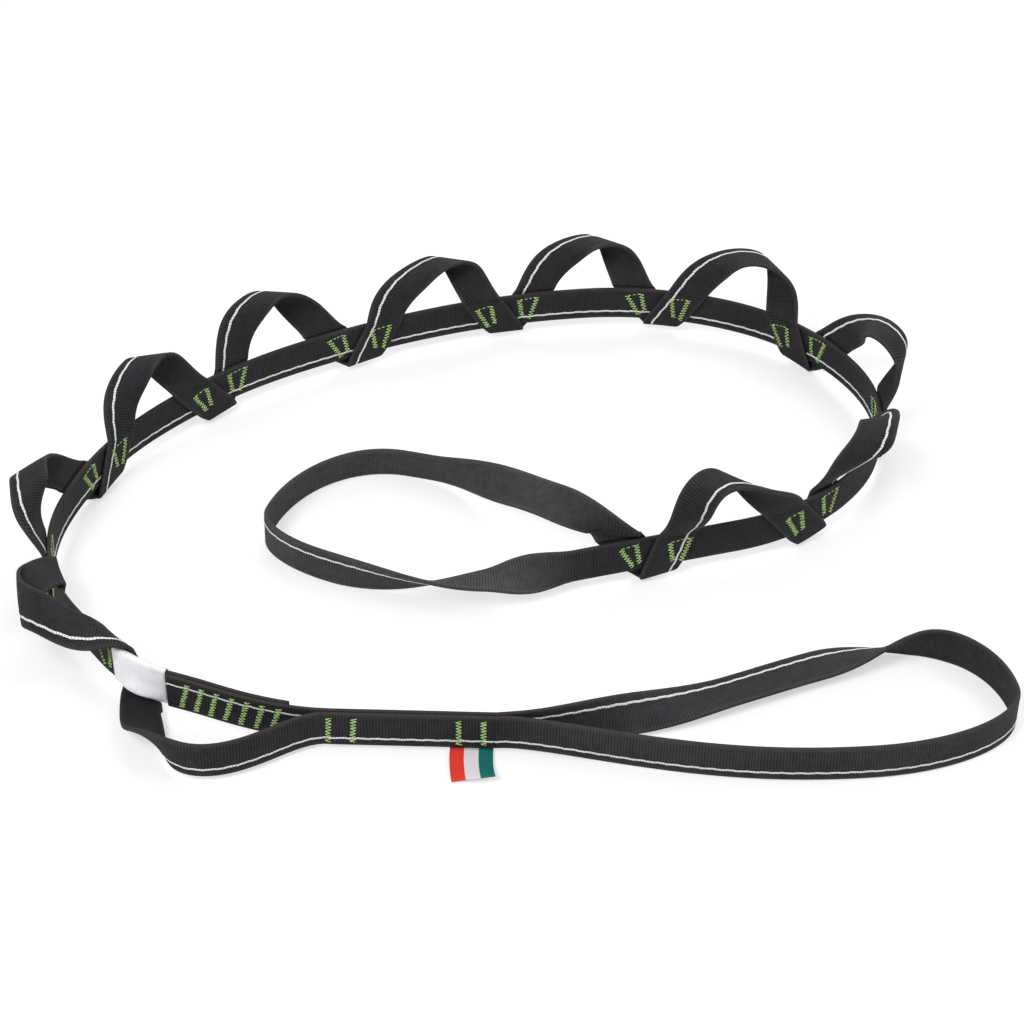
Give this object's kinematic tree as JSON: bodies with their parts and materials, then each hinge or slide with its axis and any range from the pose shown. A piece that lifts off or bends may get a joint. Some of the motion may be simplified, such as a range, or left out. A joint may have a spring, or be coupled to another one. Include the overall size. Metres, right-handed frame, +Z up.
{
  "type": "climbing daisy chain",
  "caption": "Climbing daisy chain lying on edge: webbing sewn into a ring, with twisted clip-in pockets wound along a spine, a long end loop and a girth-hitch loop.",
  "frame": {"origin": "on the ground, under the middle of the chain's box", "axes": "+Z up, away from the ground that the webbing's edges lie on; +X along the longest side of the box as laid, away from the label's end"},
  "size_m": [0.4448, 0.3532, 0.058],
  "materials": {
    "webbing": "woven, matt",
    "thread": "satin sewing thread",
    "label": "smooth coated tape",
    "tab": "fine woven tape"
  },
  "bodies": {
    "root": {"spine_strap": "webbing", "tail_strap": "webbing", "doubled_strap": "webbing", "plain_pocket": "webbing", "fold_01": "webbing", "fold_02": "webbing", "fold_03": "webbing", "fold_04": "webbing", "fold_05": "webbing", "fold_06": "webbing", "fold_07": "webbing", "fold_08": "webbing", "fold_09": "webbing", "fold_10": "webbing", "fold_11": "webbing", "fold_01_stitching_right": "thread", "fold_01_stitching_left": "thread", "fold_02_stitching_right": "thread", "fold_02_stitching_left": "thread", "fold_03_stitching_right": "thread", "fold_03_stitching_left": "thread", "fold_04_stitching_right": "thread", "fold_04_stitching_left": "thread", "fold_05_stitching_right": "thread", "fold_05_stitching_left": "thread", "fold_06_stitching_right": "thread", "fold_06_stitching_left": "thread", "fold_07_stitching_right": "thread", "fold_07_stitching_left": "thread", "fold_08_stitching_right": "thread", "fold_08_stitching_left": "thread", "fold_09_stitching_right": "thread", "fold_09_stitching_left": "thread", "fold_10_stitching_right": "thread", "fold_10_stitching_left": "thread", "fold_11_stitching_right": "thread", "fold_11_stitching_left": "thread", "end_tack_stitching_right": "thread", "end_tack_stitching_left": "thread", "pocket_tack_stitching_right": "thread", "pocket_tack_stitching_left": "thread", "splice_stitching_right": "thread", "splice_stitching_left": "thread", "label_sleeve": "label", "tab_seam": "tab"},
    "pocket_01": {"pocket_01": "webbing"},
    "pocket_02": {"pocket_02": "webbing"},
    "pocket_03": {"pocket_03": "webbing"},
    "pocket_04": {"pocket_04": "webbing"},
    "pocket_05": {"pocket_05": "webbing"},
    "pocket_06": {"pocket_06": "webbing"},
    "pocket_07": {"pocket_07": "webbing"},
    "pocket_08": {"pocket_08": "webbing"},
    "pocket_09": {"pocket_09": "webbing"},
    "pocket_10": {"pocket_10": "webbing"},
    "end_loop": {"end_loop": "webbing"},
    "girth_loop": {"girth_loop": "webbing"},
    "tab_flap": {"tab_flap": "tab"}
  },
  "joints": [
    {"name": "pocket_01_swing", "type": "hinge", "parent": "root", "child": "pocket_01", "pos_m": [-0.17892, -0.09204, 0.02545], "axis": [-0.5709, 0.821, 0], "range_deg": [-10, 10], "stiffness_Nm_per_rad": 0.02},
    {"name": "pocket_02_swing", "type": "hinge", "parent": "root", "child": "pocket_02", "pos_m": [-0.202, -0.02474, 0.02545], "axis": [0.109, 0.994, 0], "range_deg": [-10, 10], "stiffness_Nm_per_rad": 0.02},
    {"name": "pocket_03_swing", "type": "hinge", "parent": "root", "child": "pocket_03", "pos_m": [-0.16473, 0.05083, 0.02545], "axis": [0.6265, 0.7794, 0], "range_deg": [-10, 10], "stiffness_Nm_per_rad": 0.02},
    {"name": "pocket_04_swing", "type": "hinge", "parent": "root", "child": "pocket_04", "pos_m": [-0.11044, 0.10491, 0.02545], "axis": [0.8433, 0.5374, 0], "range_deg": [-10, 10], "stiffness_Nm_per_rad": 0.02},
    {"name": "pocket_05_swing", "type": "hinge", "parent": "root", "child": "pocket_05", "pos_m": [-0.03323, 0.13752, 0.02545], "axis": [0.9408, 0.3391, 0], "range_deg": [-10, 10], "stiffness_Nm_per_rad": 0.02},
    {"name": "pocket_06_swing", "type": "hinge", "parent": "root", "child": "pocket_06", "pos_m": [0.04413, 0.15943, 0.02545], "axis": [0.9967, 0.0808, 0], "range_deg": [-10, 10], "stiffness_Nm_per_rad": 0.02},
    {"name": "pocket_07_swing", "type": "hinge", "parent": "root", "child": "pocket_07", "pos_m": [0.12081, 0.14126, 0.02545], "axis": [0.9031, -0.4294, 0], "range_deg": [-10, 10], "stiffness_Nm_per_rad": 0.02},
    {"name": "pocket_08_swing", "type": "hinge", "parent": "root", "child": "pocket_08", "pos_m": [0.17843, 0.08611, 0.02545], "axis": [0.3498, -0.9368, 0], "range_deg": [-10, 10], "stiffness_Nm_per_rad": 0.02},
    {"name": "pocket_09_swing", "type": "hinge", "parent": "root", "child": "pocket_09", "pos_m": [0.16617, 0.01494, 0.02545], "axis": [-0.5443, -0.8389, 0], "range_deg": [-10, 10], "stiffness_Nm_per_rad": 0.02},
    {"name": "pocket_10_swing", "type": "hinge", "parent": "root", "child": "pocket_10", "pos_m": [0.1071, -0.03445, 0.02545], "axis": [-0.9482, -0.3177, 0], "range_deg": [-10, 10], "stiffness_Nm_per_rad": 0.02},
    {"name": "end_loop_swing", "type": "hinge", "parent": "root", "child": "end_loop", "pos_m": [-0.00017, -0.15585, 0.01095], "axis": [0, 0, 1], "range_deg": [-25, 18], "stiffness_Nm_per_rad": 0.05},
    {"name": "girth_loop_swing", "type": "hinge", "parent": "root", "child": "girth_loop", "pos_m": [0.04335, -0.05157, 0.01585], "axis": [0, 0, 1], "range_deg": [-10, 10], "stiffness_Nm_per_rad": 0.05},
    {"name": "tab_fold", "type": "hinge", "parent": "root", "child": "tab_flap", "pos_m": [-0.01025, -0.1579, 0.00135], "axis": [-0.9994, 0.0349, 0], "range_deg": [0, 60], "stiffness_Nm_per_rad": 0.001}
  ]
}
